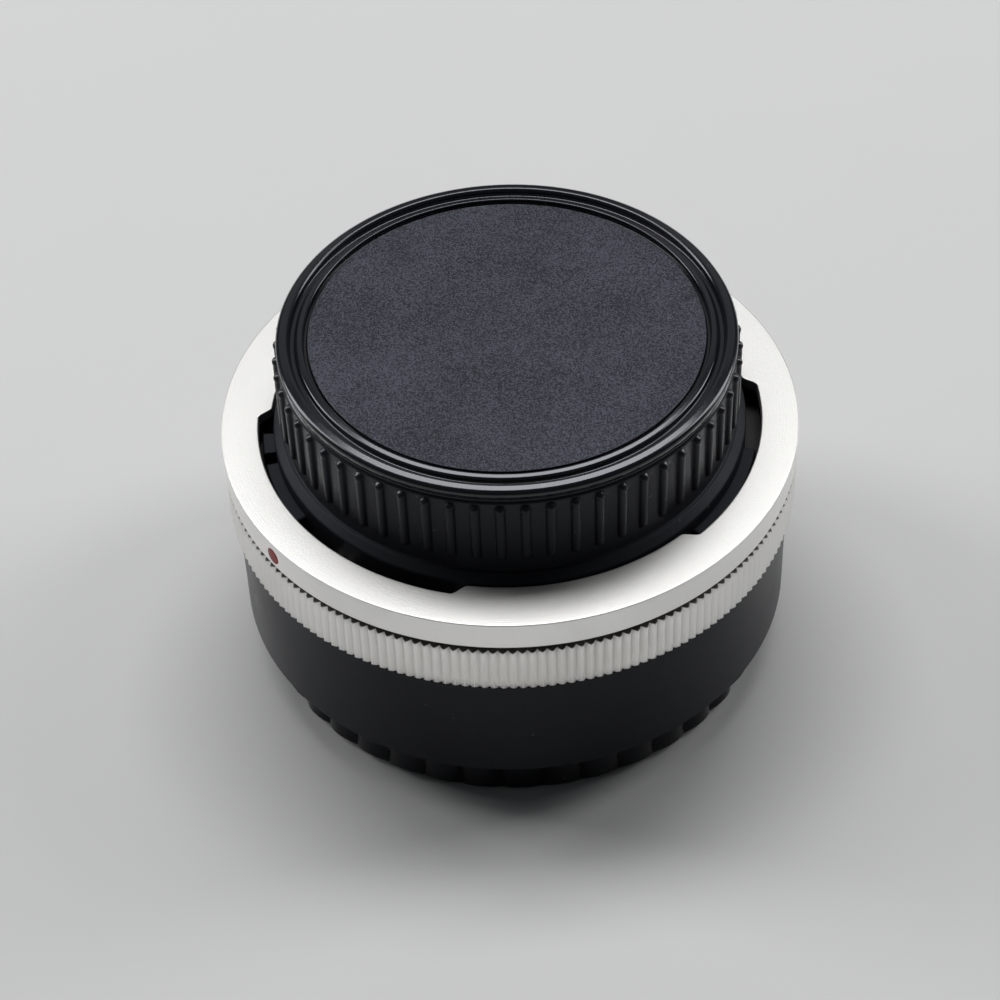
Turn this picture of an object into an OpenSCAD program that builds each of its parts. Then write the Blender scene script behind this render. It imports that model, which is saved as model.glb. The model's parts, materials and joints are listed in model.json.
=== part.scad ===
// Lens teleconverter with a breech-lock rear mount, standing on its front cap.
// Z is the optical axis: the lens side is at the bottom, the camera side on top.
// The origin is the centre of the front cap's lower face. All sizes in mm.

/* [Mount] */
// Clear diameter through the front mount
throat_d = 47.6; // [44:0.1:50]
// Radial wall of the front mount's neck
mount_wall = 2.4; // [1.8:0.1:3.2]
// How far each mount lug stands out from the neck
lug_reach = 1.3; // [0.9:0.1:1.8]
// Thickness of a mount lug along the axis
lug_t = 1.6; // [1.2:0.1:2.2]
// Length of the neck behind the front lugs
neck_h = 3.2; // [2.6:0.1:4]
// Angle that each of the ring's locking lugs spans, in degrees
lug_span = 58; // [40:1:62]
// Middle angle of the first locking lug
lug_a1 = 35.7; // [30:0.1:42]
// Middle angle of the second locking lug
lug_a2 = 149.5; // [144:0.1:155]
// Middle angle of the third locking lug
lug_a3 = 285.5; // [280:0.1:290]

/* [Breech ring] */
// Height of the knurled grip
grip_h = 5.8; // [4.5:0.1:7]
// Height of the groove above the grip
groove_h = 1; // [0.4:0.1:1.2]
// Depth of that groove
groove_depth = 0.8; // [0.3:0.1:1]
// Height of the smooth band above the groove
band_h = 3.4; // [2.6:0.1:4]
// Thickness of the ring's locking lugs
ring_lug_t = 1.3; // [1:0.1:1.6]
// Rounding of a locking lug's inner corners
lug_round = 1.2; // [0.5:0.1:1.2]
// Bevel of the band's edges
edge_break = 0.15; // [0.1:0.05:0.4]
// Number of knurl teeth
knurl_n = 192; // [96:4:240]
// Depth of the knurl
knurl_depth = 0.6; // [0.2:0.05:0.7]
// Wall of the grip between its bore and the knurl's roots
grip_wall = 0.65; // [0.55:0.05:1.2]
// Height of the land on which the ring turns
land_t = 2.2; // [1.6:0.1:2.6]
// Angle that the ring turns from open to locked, in degrees
ring_turn = 55; // [30:1:56]
// Diameter of the red index dot
dot_d = 2.2; // [1.6:0.1:2.6]
// Angle of the index dot
dot_a = 216.5; // [210:0.5:225]

/* [Barrel] */
// Length of the barrel's full diameter
barrel_len = 14.3; // [12:0.1:24]
// How far the ring stands out beyond the barrel
barrel_step = 0.8; // [0.3:0.1:1.5]
// Wall of the barrel
barrel_wall = 3; // [2:0.1:3.5]
// Wall of the neck under the ring
neck_wall = 3; // [2.4:0.1:3.2]
// Distance from the barrel's front face to the web that carries the lens cell
web_up = 5.5; // [4.5:0.1:6.5]
// Thickness of that web
web_t = 2; // [1.4:0.1:2.4]
// Thickness of the front mount's fixing flange
fix_t = 2; // [1.4:0.1:2.6]
// Thickness of the rear seat plate
plate_t = 1.85; // [1.5:0.05:2.4]
// Reach of the rear plate's holding flange beyond the ring's pocket
hold_reach = 1.6; // [1.2:0.1:2]
// Thickness of the friction washer
washer_t = 0.3; // [0.2:0.05:0.5]
// Diameter of the stop pin
stop_d = 1; // [0.8:0.1:1.2]

/* [Optics] */
// Clear diameter in front of the cell's inner shoulder
front_glass_d = 30; // [28:0.2:31]
// Clear diameter behind the cell's inner shoulder
rear_glass_d = 32; // [28:0.2:32.6]
// Free diameter of the cell's inner shoulder
stop_free_d = 26; // [22:0.2:27]
// Thickness of the front element at its edge
lens1_t = 1.6; // [1.2:0.1:2]
// Thickness of the front spacer
spacer1_t = 0.8; // [0.5:0.1:1.2]
// Thickness of each cemented element at its edge
lens23_t = 2; // [1.6:0.1:2.4]
// Thickness of the cell's inner shoulder
shoulder_t = 1; // [0.8:0.1:1.4]
// Length of the rear spacer
spacer2_t = 3.4; // [2.6:0.1:4]
// Thickness of the rear element at its edge
lens4_t = 3.8; // [3.4:0.1:4.2]
// Width of the rear baffle's window
window_w = 24; // [20:0.5:26]
// Height of the rear baffle's window
window_h = 18; // [14:0.5:20]

/* [Levers] */
// Radial width of the lever rings
lever_ring_w = 2; // [1.6:0.1:2.2]
// Thickness of the lever rings
lever_ring_t = 1.5; // [1.2:0.1:1.8]
// Radial gap between a lever ring and the blades that pass it
lever_arm = 0.6; // [0.3:0.1:1.6]
// Radial gap between the blades and the throat
blade_gap = 0.4; // [0.3:0.05:0.8]
// Radial thickness of a lever's blade
blade_t = 1.2; // [0.8:0.1:1.4]
// Angle that a blade spans, in degrees
blade_span = 8; // [5:0.5:9]
// How far the rear levers stand above the ring's top
lever_rise = 3.5; // [2:0.1:6]
// How far the front levers end behind the front mount's face
lever_setback = 2.3; // [1:0.1:4]
// Angle of the diaphragm ring's rear lever
drive_rear_a = 300; // [298:1:302]
// Angle of the diaphragm ring's front lever
drive_front_a = 60; // [58:1:64]
// Angle that the diaphragm ring turns, in degrees
drive_turn = 14; // [8:1:16]
// Angle of the signal ring's rear lever
signal_rear_a = 200; // [198:1:202]
// Angle of the signal ring's front lever
signal_front_a = 130; // [126:1:132]
// Angle that the signal ring turns, in degrees
signal_turn = 40; // [20:1:42]
// Wire diameter of the return springs
wire_d = 0.44; // [0.3:0.02:0.5]
// Mean diameter of the return springs' coils
coil_d = 2.2; // [1.8:0.1:2.4]
// Diameter of the signal pin
pin_d = 1.6; // [1.2:0.1:2]
// Angle of the signal pin
pin_a = 100; // [96:1:104]
// Travel of the signal pin
pin_travel = 1.5; // [0.8:0.1:1.8]

/* [Rear cap] */
// Height of the cap's rim above the ring's top face
rcap_rise = 12.45; // [10:0.1:16]
// Radial inset of the ribbed wall from the mount's neck
rcap_inset = 1.25; // [1:0.05:2]
// Thickness of the cap's disc
rcap_disc_t = 1.5; // [1:0.1:2]
// Number of ribs round the wall
rcap_ribs = 60; // [36:4:72]
// Diameter of a rib
rib_d = 1.1; // [0.7:0.05:1.2]
// Diameter of the ball at a rib's upper end
ball_d = 1.2; // [1.1:0.05:1.6]
// Height of the smooth wall below the ribs
rib_low = 2.6; // [2.2:0.1:5]
// Radius of the rounded rim
rim_r = 0.75; // [0.5:0.05:1]
// Angle that each ear of the cap spans, in degrees
ear_span = 31; // [16:1:34]
// Angle from the start of the second ear to its locating notch, in degrees
notch_a = 9; // [6:1:14]
// Width of that notch
notch_w = 1.4; // [1:0.1:2]
// Thickness of an ear
ear_t = 1.8; // [1.4:0.1:1.85]

/* [Front cap] */
// Thickness of the front cap's floor
lcap_floor = 1.4; // [1:0.1:2]
// Wall of the front cap, up to the scallops' crests
lcap_wall = 1.45; // [1.2:0.05:2.4]
// Number of scallops round the wall
lcap_scallops = 40; // [32:4:48]
// Radius of one scallop
scallop_r = 3.6; // [3.2:0.1:6]
// Chamfer of the lower edge
lcap_chamfer = 0.4; // [0.2:0.05:0.6]

/* [Clearances] */
// Radial gap between parts that turn in each other
turn_gap = 0.2; // [0.15:0.05:0.3]
// Gap along the axis between parts that turn on each other
axial_gap = 0.2; // [0.15:0.05:0.3]
// Gap between a cap and the mount that it covers
cap_gap = 0.25; // [0.15:0.05:0.4]
// Radial gap round the lugs of a mating mount
lug_gap = 0.4; // [0.3:0.05:0.5]
// Angular gap between lugs that pass each other, in degrees
lug_pass = 2.5; // [1.5:0.5:4]
// Seat play along the axis for the mating lugs
lug_play = 0.45; // [0.3:0.05:0.6]
// Radial gap of pieces that are screwed or pressed together
fit_gap = 0.05; // [0.02:0.01:0.08]

/* [Hidden] */
$fn = 96;

// Cutting tools run past the faces they cut by this much
eps = 0.5;
lugs = [lug_a1, lug_a2, lug_a3];

// Radii of the mount, from the axis outwards
throat_r = throat_d / 2;
neck_r = throat_r + mount_wall;
lug_r = neck_r + lug_reach;
ring_lug_r = neck_r + 0.3;
gap_r = lug_r + lug_gap;
pocket_r = gap_r + lug_gap;
seat_r = pocket_r - turn_gap;
hold_r = pocket_r + hold_reach;
spigot_in_r = hold_r + turn_gap + 0.1;
spigot_r = spigot_in_r + 0.5;
bore_r = spigot_r + fit_gap;
root_r = bore_r + grip_wall;
ring_r = root_r + knurl_depth;
barrel_r = ring_r - barrel_step;
chamber_r = barrel_r - barrel_wall;
barrel_neck_r = seat_r + 0.5;
barrel_neck_in = barrel_neck_r - neck_wall;
land_r = barrel_neck_r + turn_gap;

// Heights, from the floor upwards
face_z = lcap_floor + cap_gap;
front_lug_z = face_z + lug_t;
barrel_z = front_lug_z + neck_h;
web_z = barrel_z + web_up;
web_top = web_z + web_t;
shoulder_z = barrel_z + barrel_len;
ring_z = shoulder_z + axial_gap;
land_z = ring_z + land_t;
washer_z = land_z + axial_gap;
neck_top = washer_z + washer_t;
grip_top = ring_z + grip_h;
band_z = grip_top + groove_h;
ring_top = band_z + band_h;
lug_under = ring_top - ring_lug_t;
seat_z = lug_under - lug_t - lug_play;
plate_z = seat_z - plate_t;
hold_top = grip_top - axial_gap - 0.1;
spigot_z = land_z + 1.5;

// Screws of the two mounts
screw_r = (throat_r + neck_r) / 2;
screw_d = 1.2;
screw_head_d = 2.1;
mount_head_d = mount_wall - 0.3;
rear_screw_r = (barrel_neck_in + barrel_neck_r) / 2 - 0.3;
rear_screw_d = 1.4;
rear_head_d = 2.4;
head_t = 0.9;
rear_screws = 4;

// Angle of the breech ring's stop pin
stop_a = 90;

// Lever rings turn on the lens cell; their blades stay inside the throat
blade_out = throat_r - blade_gap;
blade_in = blade_out - blade_t;
lever_out = blade_in - lever_arm;
lever_in = lever_out - lever_ring_w;

// Lens cell
cell_r = lever_in - turn_gap;
cell_hole_r = cell_r + 0.1;
cell_flange_t = 1;
cell_flange_r = cell_r + 2.2;
cell_z = web_z - cell_flange_t;
glass1_r = front_glass_d / 2;
glass4_r = rear_glass_d / 2;
free_r = stop_free_d / 2;
retainer_t = 1.2;
lens1_z = cell_z + 0.4 + retainer_t;
spacer1_z = lens1_z + lens1_t;
lens2_z = spacer1_z + spacer1_t;
lens3_z = lens2_z + lens23_t;
cell_shoulder_z = lens3_z + lens23_t;
spacer2_z = cell_shoulder_z + shoulder_t;
lens4_z = spacer2_z + spacer2_t;
retainer4_z = lens4_z + lens4_t;
baffle_z = retainer4_z + 1;
baffle_t = 0.8;
cell_top = baffle_z + baffle_t + 0.2;
baffle_r = glass4_r + 1.4;
cell_screw_r = (cell_r + cell_flange_r) / 2 + 0.1;
cell_screw_n = 3;
function cell_screw_a(i) = 20 + 360 / cell_screw_n * i;
// Material left under a blind screw hole
blind = 0.3;

// Heights of the lever rings, stacked on the cell above the web
slot_in = blade_in - 0.3;
slot_out = blade_out + 0.3;
drive_z = web_top + axial_gap;
signal_z = drive_z + lever_ring_t + 2 * axial_gap;
clip_z = signal_z + lever_ring_t + axial_gap;
clip_t = 0.8;
clip_a = 100;
clip_open = 20;
clip_in = cell_r - 0.4;
clip_out = cell_r + 1.6;
tip_rear = ring_top + lever_rise;
tip_front = face_z + lever_setback;
slot_more = blade_span / 2 + 2;

// Return springs: coils along an arc between a fixed post and a post on the ring
arc_r = blade_out + 0.7 + coil_d / 2 + wire_d / 2;
arc_z = web_top + 2.7;
post_d = 1.2;
arm_half = 2.5;
post_top = arc_z + 1.5;
post_foot = arc_z - coil_d / 2 - 0.1;
drive_post_a = 20;
drive_anchor_a = -18;
signal_post_a = 250;
signal_anchor_a = 205;
spring_end = (post_d / 2 + wire_d / 2 + 0.15) * 180 / (PI * arc_r);
drive_turns = 12;
signal_turns = 15;

// Sprung signal pin in its guide under the rear plate
pin_r = throat_r - turn_gap - pin_d / 2;
guide_in = pin_d / 2 + 0.7;
guide_out = guide_in + 0.7;
guide_top = plate_z - 0.8;
collar_d = 2 * guide_in - 0.3;
collar_t = 0.6;
collar_z = guide_top - 0.1 - collar_t;
pin_coil_d = pin_d + wire_d + 0.3;
pin_turns = 5;
spring_free = pin_turns * (wire_d + 0.42);
pin_foot = collar_z - spring_free;
plug_t = 0.8;
pin_top = ring_top + 0.6;

// Caps
rcap_r = neck_r - rcap_inset;
rcap_in = throat_r;
rcap_z = seat_z + 0.1;
rcap_top = ring_top + rcap_rise;
rim_z = rcap_top - rim_r;
ball_sink = 0.1;
rib_sink = 0.2;
rib_top = rim_z - ball_d / 2 - 1.25;
disc_z = rcap_top - 0.45;
skirt_r = ring_lug_r - 0.3;
ear_r = lug_r + 0.05;
lcap_in = lug_r + cap_gap;
lcap_r = lcap_in + lcap_wall;
lcap_top = barrel_z - 0.2;
lcap_lug_r = neck_r + 0.3;

// Ends of the gap that follows locking lug i, going round by the right hand
function gap_from(i) = lugs[i] + lug_span / 2;
function gap_to(i) = (i == 2 ? lugs[0] + 360 : lugs[i + 1]) - lug_span / 2;
function ear_from(i) = gap_from(i) + lug_pass;

// Point at radius r, angle a and height z
function at(r, a, z) = [r * cos(a), r * sin(a), z];

// Unbroken round tube of six sides through pts, each ring square to the path; ref is a
// direction at each point that the path never follows
function unit(v) = v / norm(v);
function path_dir(pts, i) =
  unit(pts[min(i + 1, len(pts) - 1)] - pts[max(i - 1, 0)]);
function tube_ring(c, t, ref, r) =
  let (n = unit(ref - (ref * t) * t), b = cross(t, n))
  [for (k = [0:5]) c + r * (cos(60 * k) * n + sin(60 * k) * b)];

module tube(pts, refs, r) {
  n = len(pts);
  rings = [for (i = [0:n - 1]) each tube_ring(pts[i], path_dir(pts, i), refs[i], r)];
  side = [for (i = [0:n - 2]) for (k = [0:5])
    let (a = 6 * i + k, b = 6 * i + (k + 1) % 6)
    each [[a, a + 6, b], [b, a + 6, b + 6]]];
  first = [for (k = [1:4]) [0, k, k + 1]];
  last = [for (k = [1:4]) [6 * (n - 1), 6 * (n - 1) + k + 1, 6 * (n - 1) + k]];
  polyhedron(points = rings, faces = concat(side, first, last), convexity = 10);
}

// Coil along an arc about Z from angle a0 to a1, and coil along Z from z0 to z1
function arc_coil(a0, a1, turns) = [for (i = [0:8 * turns])
  let (u = i / (8 * turns), a = a0 + u * (a1 - a0), p = 45 * i)
  at(arc_r + coil_d / 2 * cos(p), a, arc_z + coil_d / 2 * sin(p))];
function arc_dirs(a0, a1, turns) = [for (i = [0:8 * turns])
  let (a = a0 + i / (8 * turns) * (a1 - a0)) [-sin(a), cos(a), 0]];
function straight_coil(x, y, d, z0, z1, turns) = [for (i = [0:8 * turns])
  [x + d / 2 * cos(45 * i), y + d / 2 * sin(45 * i), z0 + (z1 - z0) * i / (8 * turns)]];

// Ring piece between two radii, two angles and two heights
module sector(r0, r1, a0, a1, z0, z1) {
  translate([0, 0, z0])
    rotate_extrude(angle = a1 - a0, start = a0)
      translate([r0, 0])
        square([r1 - r0, z1 - z0]);
}

// Full ring between two radii and two heights
module ring(r0, r1, z0, z1) {
  translate([0, 0, z0])
    difference() {
      cylinder(r = r1, h = z1 - z0);
      translate([0, 0, -eps])
        cylinder(r = r0, h = z1 - z0 + 2 * eps);
    }
}

// Cylinder along Z at radius r and angle a
module peg(r, a, d, z0, z1) {
  translate(at(r, a, z0))
    cylinder(d = d, h = z1 - z0);
}

// Arc slot through a plate
module arc_slot(a0, a1, z0, z1) {
  sector(slot_in, slot_out, a0, a1, z0 - eps, z1 + eps);
}

// Barrel: tube with a web for the lens cell and a narrower neck for the breech ring
module barrel() {
  color("#26282b")
  difference() {
    rotate_extrude()
      polygon([
        [cell_hole_r, web_z], [chamber_r, web_z], [chamber_r, barrel_z + fix_t],
        [lug_r + 1, barrel_z + fix_t], [lug_r + 1, barrel_z], [barrel_r - 0.4, barrel_z],
        [barrel_r, barrel_z + 0.4], [barrel_r, shoulder_z - 0.3], [barrel_r - 0.3, shoulder_z],
        [barrel_neck_r, shoulder_z], [barrel_neck_r, neck_top], [barrel_neck_in, neck_top],
        [barrel_neck_in, shoulder_z - 2], [chamber_r, shoulder_z - 2], [chamber_r, web_top],
        [cell_hole_r, web_top]]);
    arc_slot(drive_front_a - slot_more, drive_front_a + drive_turn + slot_more, web_z, web_top);
    arc_slot(signal_front_a - slot_more, signal_front_a + signal_turn + slot_more, web_z, web_top);
    for (i = [0:rear_screws - 1])
      peg(rear_screw_r, 45 + 360 / rear_screws * i, rear_screw_d, neck_top - 2.5, neck_top + eps);
    for (i = [0:cell_screw_n - 1])
      peg(cell_screw_r, cell_screw_a(i), screw_d, web_z - eps, web_top - blind);
    peg((land_r + root_r) / 2, stop_a, stop_d, shoulder_z - 1.5, shoulder_z + eps);
  }
}

// Front mount: flange in the barrel, neck and three outward lugs in the gaps' pattern
module front_mount() {
  color("silver")
  difference() {
    union() {
      ring(throat_r, neck_r, face_z, barrel_z + fix_t);
      ring(throat_r, lug_r + 1 - fit_gap, barrel_z, barrel_z + fix_t);
      for (i = [0:2])
        sector(neck_r - 0.8, lug_r, gap_from(i) + lug_pass, gap_to(i) - lug_pass, face_z, front_lug_z);
    }
    for (i = [0:2])
      let (a = (gap_from(i) + gap_to(i)) / 2) {
        peg(screw_r, a, screw_d, face_z - eps, barrel_z + fix_t + eps);
        peg(screw_r, a, mount_head_d, face_z - eps, face_z + head_t + 0.1);
      }
    peg(screw_r, gap_from(1) + 12, dot_d * 0.6, face_z - eps, face_z + 0.4);
  }
}

// Slotted screw with its head at z and its shank towards z + dir * len
module screw(r, a, d, hd, z, dir, length) {
  lo = dir > 0 ? z + head_t : z - length;
  difference() {
    union() {
      peg(r, a, hd - 2 * fit_gap, min(z, z + dir * head_t), max(z, z + dir * head_t));
      peg(r, a, d - 2 * fit_gap, dir > 0 ? z + 0.3 : lo, dir > 0 ? z + length : z - 0.3);
    }
    translate(at(r, a, z))
      rotate([0, 0, a + 35])
        cube([hd + 1, 0.35, 0.7], center = true);
  }
}

module front_mount_screws() {
  color("gray")
  for (i = [0:2])
    screw(screw_r, (gap_from(i) + gap_to(i)) / 2, screw_d, mount_head_d, face_z + 0.1, 1,
      front_lug_z - face_z + neck_h + fix_t - 0.2);
}

module front_index_dot() {
  color("firebrick")
  peg(screw_r, gap_from(1) + 12, dot_d * 0.6 - 2 * fit_gap, face_z + 0.05, face_z + 0.4);
}

// Rear mount: seat for the camera's mount, with a flange that holds the breech ring down
module rear_mount() {
  px = at(pin_r, pin_a, 0);
  color("#1d1e20")
  difference() {
    union() {
      rotate_extrude()
        polygon([
          [cell_hole_r + 0.1, plate_z], [barrel_neck_in, plate_z], [barrel_neck_in, neck_top],
          [hold_r, neck_top], [hold_r, hold_top], [seat_r, hold_top], [seat_r, seat_z],
          [cell_hole_r + 0.1, seat_z]]);
      translate([px[0], px[1], pin_foot - plug_t])
        cylinder(r = guide_out, h = plate_z + plate_t / 2 - pin_foot + plug_t);
    }
    arc_slot(drive_rear_a - slot_more, drive_rear_a + drive_turn + slot_more, plate_z, seat_z);
    arc_slot(signal_rear_a - slot_more, signal_rear_a + signal_turn + slot_more, plate_z, seat_z);
    peg(pin_r, pin_a, 2 * guide_in, pin_foot - plug_t - eps, guide_top);
    peg(pin_r, pin_a, pin_d + 2 * turn_gap, guide_top - eps, seat_z + eps);
    for (i = [0:rear_screws - 1]) {
      peg(rear_screw_r, 45 + 360 / rear_screws * i, rear_screw_d, neck_top - eps, seat_z + eps);
      peg(rear_screw_r, 45 + 360 / rear_screws * i, rear_head_d, seat_z - head_t - 0.1, seat_z + eps);
    }
  }
}

module rear_mount_screws() {
  color("dimgray")
  for (i = [0:rear_screws - 1])
    screw(rear_screw_r, 45 + 360 / rear_screws * i, rear_screw_d, rear_head_d, seat_z - 0.1, -1,
      seat_z - 0.1 - neck_top + 2.4);
}

module friction_washer() {
  color("goldenrod")
  ring(barrel_neck_r + 0.1, hold_r - 0.1, washer_z, neck_top);
}

module stop_pin() {
  color("lightgray")
  peg((land_r + root_r) / 2, stop_a, stop_d - 2 * fit_gap, shoulder_z - 1.5, ring_z + 1);
}

// Lens cell: tube with a fixing flange, an inner shoulder and a seat for the baffle
module lens_cell() {
  color("#1b1c1e")
  difference() {
    rotate_extrude()
      polygon([
        [glass1_r + fit_gap, cell_z], [cell_flange_r, cell_z], [cell_flange_r, web_z],
        [cell_r, web_z], [cell_r, clip_z], [clip_in, clip_z], [clip_in, clip_z + clip_t],
        [cell_r, clip_z + clip_t], [cell_r, cell_top], [baffle_r + fit_gap, cell_top],
        [baffle_r + fit_gap, baffle_z], [glass4_r + fit_gap, baffle_z],
        [glass4_r + fit_gap, spacer2_z], [free_r, spacer2_z], [free_r, cell_shoulder_z],
        [glass1_r + fit_gap, cell_shoulder_z]]);
    for (i = [0:cell_screw_n - 1])
      peg(cell_screw_r, cell_screw_a(i), screw_d, cell_z - eps, web_z + eps);
  }
}

module cell_screws() {
  color("gray")
  for (i = [0:cell_screw_n - 1])
    screw(cell_screw_r, cell_screw_a(i), screw_d, screw_head_d, cell_z - head_t, 1,
      head_t + cell_flange_t + web_t - 0.4);
}

// Half profile of a lens: edge between z0 and z1 at radius r, with spherical faces that begin
// at radius c0 and c1; a face radius above zero bulges outwards, below zero it is hollow
module glass(r, z0, z1, f0, c0, f1, c1) {
  s0 = abs(f0) - sqrt(f0 * f0 - c0 * c0);
  s1 = abs(f1) - sqrt(f1 * f1 - c1 * c1);
  rotate_extrude()
    intersection() {
      translate([0, z0 - 10])
        square([r, z1 - z0 + 20]);
      difference() {
        union() {
          translate([0, z0])
            square([r, z1 - z0]);
          if (f0 > 0)
            intersection() {
              translate([0, z0 - s0 + f0])
                circle(r = f0, $fn = 256);
              translate([0, z0 - s0 - 1])
                square([c0, s0 + 1.5]);
            }
          if (f1 > 0)
            intersection() {
              translate([0, z1 + s1 - f1])
                circle(r = f1, $fn = 256);
              translate([0, z1 - 0.5])
                square([c1, s1 + 1.5]);
            }
        }
        if (f0 < 0)
          translate([0, z0 + s0 + f0])
            circle(r = -f0, $fn = 256);
        if (f1 < 0)
          translate([0, z1 - s1 - f1])
            circle(r = -f1, $fn = 256);
      }
    }
}

module lens_front() {
  color([0.72, 0.8, 0.9, 0.5])
  glass(glass1_r, lens1_z, spacer1_z, 40, glass1_r - 1.4, -60, glass1_r - 1.4);
}

module lens_middle_front() {
  color([0.72, 0.85, 0.85, 0.5])
  glass(glass1_r, lens2_z, lens3_z, -70, glass1_r - 1.4, 45, glass1_r);
}

module lens_middle_rear() {
  color([0.75, 0.85, 0.8, 0.5])
  glass(glass1_r, lens3_z, cell_shoulder_z, -45, glass1_r, 30, free_r - 0.4);
}

module lens_rear() {
  color([0.72, 0.8, 0.9, 0.5])
  glass(glass4_r, lens4_z, retainer4_z, -60, glass4_r - 2.6, -80, glass4_r - 1.6);
}

// Threaded rings with two spanner slots
module front_retainer() {
  color("#232427")
  difference() {
    ring(glass1_r - 1.2, glass1_r, lens1_z - retainer_t, lens1_z);
    translate([0, 0, lens1_z - retainer_t])
      cube([2 * glass1_r + 2, 1.2, 1], center = true);
  }
}

module rear_retainer() {
  color("#232427")
  difference() {
    ring(glass4_r - 1.4, glass4_r, retainer4_z, retainer4_z + 1);
    translate([0, 0, retainer4_z + 1])
      cube([2 * glass4_r + 2, 1.2, 1], center = true);
  }
}

module front_spacer() {
  color("#232427")
  ring(glass1_r - 1.2, glass1_r, spacer1_z, lens2_z);
}

module rear_spacer() {
  color("#232427")
  ring(glass4_r - 2.4, glass4_r, spacer2_z, lens4_z);
}

// Rear baffle: disc with a rectangular window that keeps stray light out
module baffle() {
  color("#151618")
  difference() {
    translate([0, 0, baffle_z])
      cylinder(r = baffle_r, h = baffle_t);
    translate([-window_w / 2, -window_h / 2, baffle_z - eps])
      cube([window_w, window_h, baffle_t + 2 * eps]);
  }
}

// Open spring clip in the cell's groove
module ring_clip() {
  color("lightgray")
  sector(clip_in + fit_gap, clip_out, clip_a, clip_a + 360 - clip_open, clip_z + fit_gap,
    clip_z + clip_t - fit_gap);
}

module spring_posts() {
  color("lightgray")
  for (a = [drive_anchor_a, signal_anchor_a])
    peg(arc_r, a, post_d, web_top, post_top);
}

module drive_spring() {
  a0 = drive_anchor_a + spring_end;
  a1 = drive_post_a - spring_end;
  color("lightgray")
  tube(arc_coil(a0, a1, drive_turns), arc_dirs(a0, a1, drive_turns), wire_d / 2);
}

module signal_spring() {
  a0 = signal_anchor_a + spring_end;
  a1 = signal_post_a - spring_end;
  color("lightgray")
  tube(arc_coil(a0, a1, signal_turns), arc_dirs(a0, a1, signal_turns), wire_d / 2);
}

module pin_plug() {
  color("dimgray")
  peg(pin_r, pin_a, 2 * (guide_in - fit_gap), pin_foot - plug_t, pin_foot);
}

module pin_spring() {
  p = at(pin_r, pin_a, 0);
  pts = straight_coil(p[0], p[1], pin_coil_d, pin_foot + wire_d / 2 + 0.1, collar_z - wire_d / 2 - 0.1,
    pin_turns);
  color("lightgray")
  tube(pts, [for (q = pts) [0, 0, 1]], wire_d / 2);
}

// Grip of the breech ring: V knurl outside, land, recess and spigot bore inside
module grip_ring() {
  stop_r = (land_r + root_r) / 2;
  stop_m = (stop_d / 2 + 0.3) * 180 / (PI * stop_r);
  color("#b4b6b8")
  difference() {
    translate([0, 0, ring_z])
      linear_extrude(grip_h)
        polygon([for (i = [0:knurl_n - 1]) for (k = [0, 1])
          let (r = k == 0 ? ring_r : root_r, a = 360 / knurl_n * (i + k / 2))
          [r * cos(a), r * sin(a)]]);
    rotate_extrude()
      polygon([
        [0, ring_z - eps], [land_r, ring_z - eps], [land_r, land_z], [spigot_in_r, land_z],
        [spigot_in_r, spigot_z], [bore_r, spigot_z], [bore_r, grip_top + eps], [0, grip_top + eps]]);
    sector(stop_r - stop_d / 2 - turn_gap, stop_r + stop_d / 2 + turn_gap,
      stop_a - ring_turn - stop_m, stop_a + stop_m, ring_z - eps, ring_z + 1.2);
  }
}

// Breech flange: smooth band over a groove, spigot below, locking lugs inside its top
module breech_flange() {
  color("#d4d5d6")
  difference() {
    rotate_extrude()
      polygon([
        [pocket_r, grip_top], [spigot_in_r, grip_top], [spigot_in_r, spigot_z + 0.1],
        [spigot_r, spigot_z + 0.1], [spigot_r, grip_top], [ring_r - groove_depth, grip_top],
        [ring_r - groove_depth, band_z], [ring_r - edge_break, band_z], [ring_r, band_z + edge_break],
        [ring_r, ring_top - edge_break], [ring_r - edge_break, ring_top],
        [ring_lug_r + edge_break, ring_top],
        [ring_lug_r, ring_top - edge_break], [ring_lug_r, lug_under], [pocket_r, lug_under]]);
    for (i = [0:2]) {
      sector(ring_lug_r - 1, gap_r, gap_from(i), gap_to(i), lug_under - eps, ring_top + eps);
      lug_corner(gap_from(i), 0);
      lug_corner(gap_to(i), 1);
    }
    rotate([0, 0, dot_a])
      translate([ring_r - 0.5, 0, band_z + band_h * 0.42])
        rotate([0, 90, 0])
          cylinder(d = dot_d, h = 1);
  }
}

// Rounds the inner corner of a locking lug that ends at angle a; flip where the lug begins there
module lug_corner(a, flip) {
  h = ring_lug_t + 2 * eps;
  rotate([0, 0, a])
    translate([ring_lug_r, 0, lug_under - eps])
      mirror([0, flip, 0])
        difference() {
          translate([-0.2, -lug_round, 0])
            cube([lug_round + 0.2, lug_round + 0.2, h]);
          translate([1.1 * lug_round, -1.1 * lug_round, -eps])
            cylinder(r = 1.2 * lug_round, h = h + 2 * eps);
        }
}

module ring_index_dot() {
  color("#a3262a")
  rotate([0, 0, dot_a])
    translate([ring_r - 0.5, 0, band_z + band_h * 0.42])
      rotate([0, 90, 0])
        cylinder(d = dot_d - 2 * fit_gap, h = 0.52);
}

// Lever ring at height z: a rear and a front blade, and a post for its return spring
module lever_ring(z, rear_a, front_a, post_a) {
  ring(lever_in, lever_out, z, z + lever_ring_t);
  half = blade_span / 2;
  for (a = [rear_a, front_a])
    sector(lever_out - 0.6, blade_out, a - half, a + half, z, z + lever_ring_t);
  sector(blade_in, blade_out, rear_a - half, rear_a + half, z + lever_ring_t / 2, tip_rear);
  sector(blade_in, blade_out, front_a - half, front_a + half, tip_front, z + lever_ring_t / 2);
  sector(lever_out - 0.6, arc_r + post_d / 2 + 0.2, post_a - arm_half, post_a + arm_half,
    z, z + lever_ring_t);
  peg(arc_r, post_a, post_d, min(z + lever_ring_t / 2, post_foot), post_top);
}

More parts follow.
